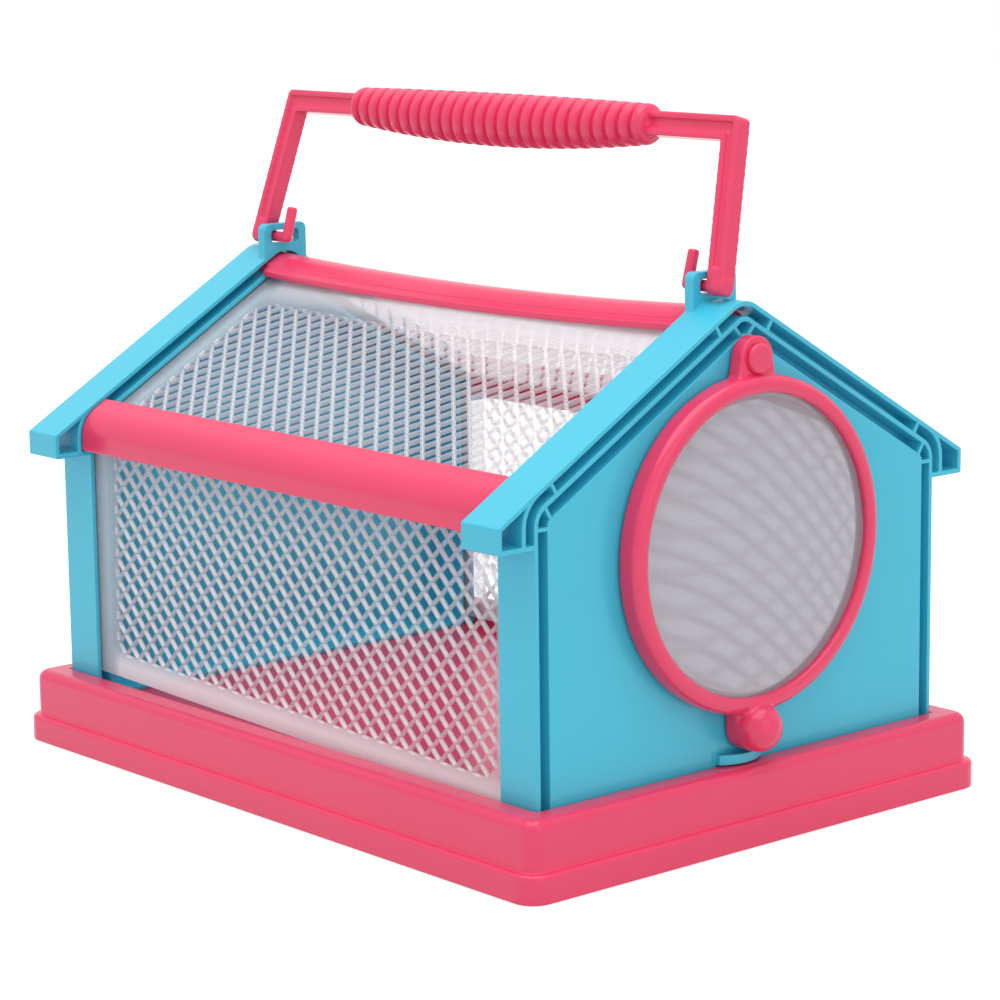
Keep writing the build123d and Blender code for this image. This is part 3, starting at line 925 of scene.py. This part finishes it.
def net_sheet(name, tree, size, thickness, borders):
    """One net panel in its own XY plane: x along the box, y up from its foot at zero.

    Its borders are given in the order start, end, foot, top; the diamonds are cut in half along them.
    """
    net = bpy.context.scene.bug_box_net
    length, height = size
    start_border, end_border, foot_border, top_border = borders
    strand = net.strand + 2.0 * net.rim
    slope = math.hypot(net.pitch_along, net.pitch_up)
    share = 1.0 - strand * slope / (net.pitch_along * net.pitch_up)
    hole_width = net.pitch_along * share + 2.0 * net.rim * slope / net.pitch_up
    hole_height = net.pitch_up * share + 2.0 * net.rim * slope / net.pitch_along
    columns = math.floor(2.0 * (length - start_border - end_border) / net.pitch_along) + 1
    rows = math.floor(2.0 * (height - foot_border - top_border) / net.pitch_up) + 1
    field_length = (columns - 1) * net.pitch_along / 2.0
    field_height = (rows - 1) * net.pitch_up / 2.0
    field_middle = length / 2.0 - end_border - field_length / 2.0
    field_level = foot_border + field_height / 2.0 - height / 2.0
    piece = run_group(
        name,
        tree,
        {
            "Length": length,
            "Height": height,
            "Thickness": thickness,
            "Field Place": (field_middle, field_level, 0.0),
            "Columns": columns,
            "Rows": rows,
            "Pitch Along": net.pitch_along,
            "Pitch Up": net.pitch_up,
            "Hole Width": hole_width,
            "Hole Height": hole_height,
            "Hole Round": net.hole_round,
            "Rim": net.rim,
            "Material": material_for("clear_net"),
        },
    )
    if not piece.data.polygons:
        raise RuntimeError(f"{name} came out empty")
    piece.data.transform(Matrix.Translation((0, height / 2.0, 0)))
    outward(piece)
    return smooth_below(piece, 50)


def stand_panel(piece, foot, along, up):
    """Place a sheet's own axes in the house: its foot's middle, its run and its rise."""
    facing = along.cross(up)
    turn = Matrix((along, up, facing)).transposed().to_4x4()
    piece.data.transform(Matrix.Translation(foot) @ turn)
    return piece


# Ribbed grip


def ribbed_grip_tree():
    """A bellied oval bar along Y with rounded ribs and domed ends, its middle on the bar's middle."""
    graph, value, result = make_group(
        "ribbed_grip",
        [
            ("Length", "Float"),
            ("Ribs", "Int"),
            ("Rib Depth", "Float"),
            ("Top Rise", "Float"),
            ("End Drop", "Float"),
            ("Belly Drop", "Float"),
            ("Half Thickness", "Float"),
            ("End Dome", "Float"),
            ("Material", "Material"),
        ],
    )
    around_count = 49
    rows_per_rib = 14.0
    groove_start = 0.42
    groove_wall = 0.3
    end_rise = 0.9
    end_width = 0.88
    rows = value["Ribs"] * rows_per_rib + 1.0
    sheet = graph.add(
        "GeometryNodeMeshGrid",
        inputs={"Size X": 1.0, "Size Y": 1.0, "Vertices X": around_count, "Vertices Y": rows},
    )
    around, along, flat = graph.axes(graph.add("GeometryNodeInputPosition"))
    angle = around * (2.0 * math.pi)
    share = (along * 2.0).math("ABSOLUTE")
    fullness = 1.0 - share * share
    phase = ((along + 0.5) * value["Ribs"]).math("FRACT")
    across = (phase * 2.0 - 1.0).math("ABSOLUTE")
    into_groove = ((across - groove_start) / groove_wall).clamped()
    soft_groove = into_groove * into_groove * (3.0 - 2.0 * into_groove)
    on_top = angle.math("SINE").math("MAXIMUM", 0.0) ** 5.0
    groove = soft_groove * value["Rib Depth"] * (1.0 - 0.9 * on_top)
    dome_share = value["End Dome"] * 2.0 / value["Length"]
    into_dome = ((share - (1.0 - dome_share)) / dome_share).clamped()
    closing = (1.0 - into_dome**2.6).math("MAXIMUM", 0.0).math("SQRT")
    drop = value["End Drop"] + (value["Belly Drop"] - value["End Drop"]) * fullness
    rise = value["Top Rise"] * (end_rise + (1.0 - end_rise) * fullness)
    half_height = (rise + drop) / 2.0
    middle = (rise - drop) / 2.0
    half_width = value["Half Thickness"] * (end_width + (1.0 - end_width) * fullness)
    place = graph.point(
        x=(half_width - groove) * closing * angle.math("COSINE"),
        y=along * value["Length"],
        z=middle + (half_height - groove) * closing * angle.math("SINE"),
    )
    shaped = graph.add("GeometryNodeSetPosition", inputs={"Geometry": sheet, "Position": place})
    closed = graph.add("GeometryNodeMergeByDistance", inputs={"Geometry": shaped, "Distance": WELD_DISTANCE})
    real = graph.add("GeometryNodeRealizeInstances", inputs={"Geometry": closed})
    finished = graph.add("GeometryNodeSetMaterial", inputs={"Geometry": real, "Material": value["Material"]})
    feed(graph.tree, result.inputs[0], finished)
    return graph.tree


# Operators


class BUGBOX_OT_stage(bpy.types.Operator):
    """Set up the camera, the soft lamps, the white world and the floor"""

    bl_idname = "bugbox.stage"
    bl_label = "Stage"

    def execute(self, context):
        stage = context.scene.bug_box_stage
        self.place_camera(context, stage)
        self.hang_lamps(stage)
        self.light_world(context, stage)
        self.lay_floor(stage)
        context.scene.view_settings.view_transform = "Standard"
        return {"FINISHED"}

    def place_camera(self, context, stage):
        level = Vector((math.sin(stage.camera_yaw), math.cos(stage.camera_yaw), 0))
        forward = level * math.cos(stage.camera_pitch) - UP * math.sin(stage.camera_pitch)
        right = forward.cross(UP).normalized()
        above = right.cross(forward)
        lean_cos = math.cos(stage.camera_roll)
        lean_sin = math.sin(stage.camera_roll)
        turned_right = lean_cos * right + lean_sin * above
        turned_up = lean_cos * above - lean_sin * right
        turn = Matrix((turned_right, turned_up, -forward)).transposed().to_4x4()
        data = bpy.data.cameras.new("photo_camera")
        data.sensor_width = 36.0
        data.lens = stage.focal_length
        data.clip_start = 0.01
        data.dof.use_dof = False
        camera = bpy.data.objects.new("photo_camera", data)
        context.scene.collection.objects.link(camera)
        camera.matrix_world = Matrix.Translation(stage.camera_place) @ turn
        context.scene.camera = camera

    def hang_lamps(self, stage):
        target = Vector((0, 0, 0.06))
        lamps = (
            ("top_softbox", Vector((-0.12, -0.1, 0.95)), 0.9, stage.top_power),
            ("front_softbox", Vector((-0.1, -1.0, 0.45)), 0.7, stage.front_power),
            ("side_softbox", Vector((-1.0, -0.1, 0.35)), 0.7, stage.side_power),
        )
        for name, place, size, power in lamps:
            data = bpy.data.lights.new(name, "AREA")
            data.shape = "SQUARE"
            data.size = size
            data.energy = power
            lamp = bpy.data.objects.new(name, data)
            bpy.context.scene.collection.objects.link(lamp)
            lamp.location = place
            lamp.rotation_euler = (target - place).to_track_quat("-Z", "Y").to_euler()

    def light_world(self, context, stage):
        world = bpy.data.worlds.new("white_room")
        context.scene.world = world
        world.use_nodes = True
        world.node_tree.nodes.clear()
        graph = Graph(world.node_tree)
        strength = stage.ambient + (1.0 - stage.ambient) * seen_by_camera(graph)
        background = graph.add(
            "ShaderNodeBackground", inputs={"Color": (1.0, 1.0, 1.0, 1.0), "Strength": strength}
        )
        graph.add("ShaderNodeOutputWorld", inputs={"Surface": background})

    def lay_floor(self, stage):
        half = stage.floor_size / 2.0
        mesh = bpy.data.meshes.new("floor")
        corners = [(-half, -half, 0), (half, -half, 0), (half, half, 0), (-half, half, 0)]
        mesh.from_pydata(corners, [], [(0, 1, 2, 3)])
        mesh.transform(Matrix.Translation((0, 0, -FLOOR_GAP)))
        floor = link("floor", mesh)
        floor.data.materials.append(pale_floor("pale_floor", stage.floor_glow))


class BUGBOX_OT_tray(bpy.types.Operator):
    """Make the pink base tray with rounded edges"""

    bl_idname = "bugbox.tray"
    bl_label = "Base tray"

    def execute(self, context):
        soft_node("base_tray", "pink_plastic", "house", finish().tray_edge)
        return {"FINISHED"}


class BUGBOX_OT_end_walls(bpy.types.Operator):
    """Make the two blue gabled end walls with rounded edges"""

    bl_idname = "bugbox.end_walls"
    bl_label = "End walls"

    def execute(self, context):
        for node in ("front_wall", "back_wall"):
            soft_node(node, "blue_plastic", "house", finish().wall_edge)
        return {"FINISHED"}


class BUGBOX_OT_nets(bpy.types.Operator):
    """Make the four milky diamond nets of the sides and roof"""

    bl_idname = "bugbox.nets"
    bl_label = "Nets"

    def execute(self, context):
        net = context.scene.bug_box_net
        tree = diamond_net_tree()
        self.right_side(net, tree)
        self.left_side(net, tree)
        for side in (-1, 1):
            self.roof(net, tree, side)
        return {"FINISHED"}

    def wear(self, piece, node):
        dress(piece, material_for("clear_net"), "clear_net", "house", node)

    def right_side(self, net, tree):
        low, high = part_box("right_side_net")
        thickness = high.x - low.x
        borders = (net.front_border, net.back_border, net.foot_border, net.eave_border)
        piece = net_sheet("right_side_net_sheet", tree, (high.y - low.y, high.z - low.z), thickness, borders)
        stand_panel(piece, Vector(((low.x + high.x) / 2, 0, low.z)), Vector((0, 1, 0)), UP)
        self.wear(piece, "right_side_net")

    def left_side(self, net, tree):
        low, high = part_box("left_side_net")
        length = high.y - low.y
        borders = (net.front_border, net.back_border, net.foot_border, net.eave_border)
        climb = math.atan2(net.left_foot_back - net.left_foot_front, length)
        overhang = net.left_height * math.sin(climb)
        size = (length - overhang, net.left_height)
        piece = net_sheet("left_side_net_sheet", tree, size, high.x - low.x, borders)
        run = Vector((0, math.cos(climb), math.sin(climb)))
        rise = Vector((0, -math.sin(climb), math.cos(climb)))
        foot_z = (net.left_foot_front + net.left_foot_back) / 2.0
        stand_panel(piece, Vector(((low.x + high.x) / 2, overhang / 2.0, foot_z)), run, rise)
        self.wear(piece, "left_side_net")

    def roof(self, net, tree, side):
        name = "right_roof_net" if side > 0 else "left_roof_net"
        low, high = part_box(name)
        side_low, side_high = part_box("right_side_net")
        thickness = side_high.x - side_low.x
        pitch = self.roof_pitch(name)
        inner_low = Vector((high.x if side > 0 else low.x, 0, low.z))
        inner_low.x -= side * thickness * math.sin(pitch)
        length_up = (high.z - low.z - thickness * math.cos(pitch)) / math.sin(pitch)
        rise = Vector((-side * math.cos(pitch), 0, math.sin(pitch)))
        facing = Vector((side * math.sin(pitch), 0, math.cos(pitch)))
        foot = inner_low + facing * thickness / 2.0
        borders = (net.front_border, net.back_border, net.eave_border, net.ridge_border)
        piece = net_sheet(name + "_sheet", tree, (high.y - low.y, length_up), thickness, borders)
        stand_panel(piece, foot, Vector((0, 1, 0)), rise)
        sag(piece, net.ridge_sag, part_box("ridge_rail")[1].y, abs(inner_low.x))
        self.wear(piece, name)

    def roof_pitch(self, name):
        """The roof's slope, read from the broadest face of the CAD panel."""
        mesh = frame["nodes"][name].data
        face = max(mesh.polygons, key=lambda item: item.area * abs(item.normal.z))
        return math.atan2(abs(face.normal.x), abs(face.normal.z))


class BUGBOX_OT_rails(bpy.types.Operator):
    """Make the ridge rail, with its sag, and the two eave rails"""

    bl_idname = "bugbox.rails"
    bl_label = "Rails"

    def execute(self, context):
        for node in ("left_eave_rail", "right_eave_rail"):
            soft_node(node, "pink_plastic", "house", finish().rail_edge)
        half_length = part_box("ridge_rail")[1].y
        eave_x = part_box("right_roof_net")[1].x
        short_lengths = 48
        piece = cut_across(merged_copy("ridge_rail", "ridge_rail_moulding"), short_lengths)
        sag(piece, context.scene.bug_box_net.ridge_sag, half_length, eave_x)
        round_edges(piece, finish().rail_edge)
        dress(piece, material_for("pink_plastic"), "pink_plastic", "house", "ridge_rail")
        return {"FINISHED"}


class BUGBOX_OT_door(bpy.types.Operator):
    """Make the door ring with its lug and knob, the magnifier lens and the pivot pin"""

    bl_idname = "bugbox.door"
    bl_label = "Door"

    def execute(self, context):
        door = context.scene.bug_box_door
        self.ring(door)
        self.lens(door)
        soft_node("door_pivot_pin", "pink_plastic", "house", finish().small_edge)
        return {"FINISHED"}

    def ring(self, door):
        piece = melt(merged_copy("lens_frame", "lens_frame_moulding"), door.melt)
        dress(piece, material_for("pink_plastic"), "pink_plastic", "door", "lens_frame")

    def lens(self, door):
        """Turn the lens's outline about its axis: two domes and a flat rim."""
        low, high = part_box("lens")
        edge_radius = (high.x - low.x) / 2.0
        dome_radius = edge_radius - door.lens_rim
        front_plane = low.y + door.lens_front_rise
        back_plane = front_plane + door.lens_edge
        dome_steps = 40
        turn_steps = 144
        edge_round = 0.15 * MM

        def dome(plane, height, radius):
            sphere = (dome_radius**2 + height**2) / (2.0 * abs(height))
            drop = sphere - math.sqrt(sphere**2 - radius**2)
            return plane + height - math.copysign(drop, height)

        rings = [step * dome_radius / dome_steps for step in range(dome_steps + 1)]
        outline = [(radius, dome(front_plane, -door.lens_front_rise, radius)) for radius in rings]
        outline += [(edge_radius - edge_round, front_plane), (edge_radius, front_plane + edge_round)]
        outline += [(edge_radius, back_plane - edge_round), (edge_radius - edge_round, back_plane)]
        outline += [(radius, dome(back_plane, door.lens_back_rise, radius)) for radius in reversed(rings)]
        mesh = bpy.data.meshes.new("lens_moulding")
        shape = bmesh.new()
        vertices = [shape.verts.new((radius, y, 0)) for radius, y in outline]
        edges = [shape.edges.new(pair) for pair in zip(vertices, vertices[1:])]
        bmesh.ops.spin(
            shape,
            geom=vertices + edges,
            cent=(0, 0, 0),
            axis=(0, 1, 0),
            angle=2 * math.pi,
            steps=turn_steps,
        )
        shape.to_mesh(mesh)
        shape.free()
        middle = (low + high) / 2.0
        mesh.transform(Matrix.Translation((middle.x, 0, middle.z)))
        piece = outward(link("lens_moulding", mesh))
        smooth_below(piece, 30)
        dress(piece, material_for("clear_lens"), "clear_lens", "door", "lens")


class BUGBOX_OT_handle(bpy.types.Operator):
    """Make the carry handle: its bail with hooked ends and its ribbed grip"""

    bl_idname = "bugbox.handle"
    bl_label = "Carry handle"

    def execute(self, context):
        handle = context.scene.bug_box_handle
        hinge = Vector(joint("handle_swing")["pos_m"])
        lean = Matrix.Translation(hinge) @ Matrix.Rotation(handle.tilt, 4, "Y")
        self.bail(handle)
        self.grip(handle, lean)
        return {"FINISHED"}

    def bail(self, handle):
        """The CAD bail without its grip; each half of its bar runs on into the grip."""
        piece = merged_copy("carry_handle", "handle_bail")
        cut = handle.grip_length / 2.0 + handle.bar_shows
        clearly_inside = cut - 0.01 * MM
        shape = bmesh.new()
        shape.from_mesh(piece.data)
        for side in (-1, 1):
            everything = shape.verts[:] + shape.edges[:] + shape.faces[:]
            bmesh.ops.bisect_plane(shape, geom=everything, plane_co=(0, side * cut, 0), plane_no=(0, side, 0))
        inner = [vertex for vertex in shape.verts if abs(vertex.co.y) < clearly_inside]
        bmesh.ops.delete(shape, geom=inner, context="VERTS")
        open_edges = [edge for edge in shape.edges if edge.is_boundary]
        grown = bmesh.ops.extrude_edge_only(shape, edges=open_edges)["geom"]
        for vertex in [item for item in grown if isinstance(item, bmesh.types.BMVert)]:
            vertex.co.y -= math.copysign(handle.bar_hidden, vertex.co.y)
        ends = [edge for edge in shape.edges if edge.is_boundary]
        bmesh.ops.holes_fill(shape, edges=ends, sides=0)
        bmesh.ops.recalc_face_normals(shape, faces=shape.faces)
        shape.to_mesh(piece.data)
        shape.free()
        melt(piece, handle.melt)
        dress(piece, material_for("pink_plastic"), "pink_plastic", "handle", "carry_handle")

    def grip(self, handle, lean):
        piece = run_group(
            "handle_grip",
            ribbed_grip_tree(),
            {
                "Length": handle.grip_length,
                "Ribs": handle.ribs,
                "Rib Depth": handle.rib_depth,
                "Top Rise": handle.top_rise,
                "End Drop": handle.end_drop,
                "Belly Drop": handle.belly_drop,
                "Half Thickness": handle.half_thickness,
                "End Dome": handle.end_dome,
                "Material": material_for("pink_plastic"),
            },
        )
        if not piece.data.polygons:
            raise RuntimeError("the grip came out empty")
        outward(piece)
        piece.data.transform(lean @ Matrix.Translation((0, 0, handle.bar_middle)))
        smooth_below(piece, 80)
        dress(piece, material_for("pink_plastic"), "pink_plastic", "handle", "carry_handle")


OPERATORS = (
    BUGBOX_OT_stage,
    BUGBOX_OT_tray,
    BUGBOX_OT_end_walls,
    BUGBOX_OT_nets,
    BUGBOX_OT_rails,
    BUGBOX_OT_door,
    BUGBOX_OT_handle,
)


class BUGBOX_PT_panel(bpy.types.Panel):
    """Lists the box's pieces and sizes"""

    bl_idname = "BUGBOX_PT_panel"
    bl_label = "Bug Viewer Box"
    bl_space_type = "VIEW_3D"
    bl_region_type = "UI"
    bl_category = "Bug Box"

    def draw(self, context):
        for operator in OPERATORS:
            self.layout.operator(operator.bl_idname)
        for name, group in SETTINGS.items():
            box = self.layout.box()
            for key in group.__annotations__:
                box.prop(getattr(context.scene, name), key)


def register():
    for group in SETTINGS.values():
        bpy.utils.register_class(group)
    for operator in OPERATORS:
        bpy.utils.register_class(operator)
    bpy.utils.register_class(BUGBOX_PT_panel)
    for name, group in SETTINGS.items():
        setattr(bpy.types.Scene, name, bpy.props.PointerProperty(type=group))


def unregister():
    for name in SETTINGS:
        delattr(bpy.types.Scene, name)
    bpy.utils.unregister_class(BUGBOX_PT_panel)
    for operator in reversed(OPERATORS):
        bpy.utils.unregister_class(operator)
    for group in reversed(list(SETTINGS.values())):
        bpy.utils.unregister_class(group)


def main():
    register()
    bpy.ops.bugbox.stage()
    bpy.ops.bugbox.tray()
    bpy.ops.bugbox.end_walls()
    bpy.ops.bugbox.nets()
    bpy.ops.bugbox.rails()
    bpy.ops.bugbox.door()
    bpy.ops.bugbox.handle()


if __name__ == "__main__":
    main()
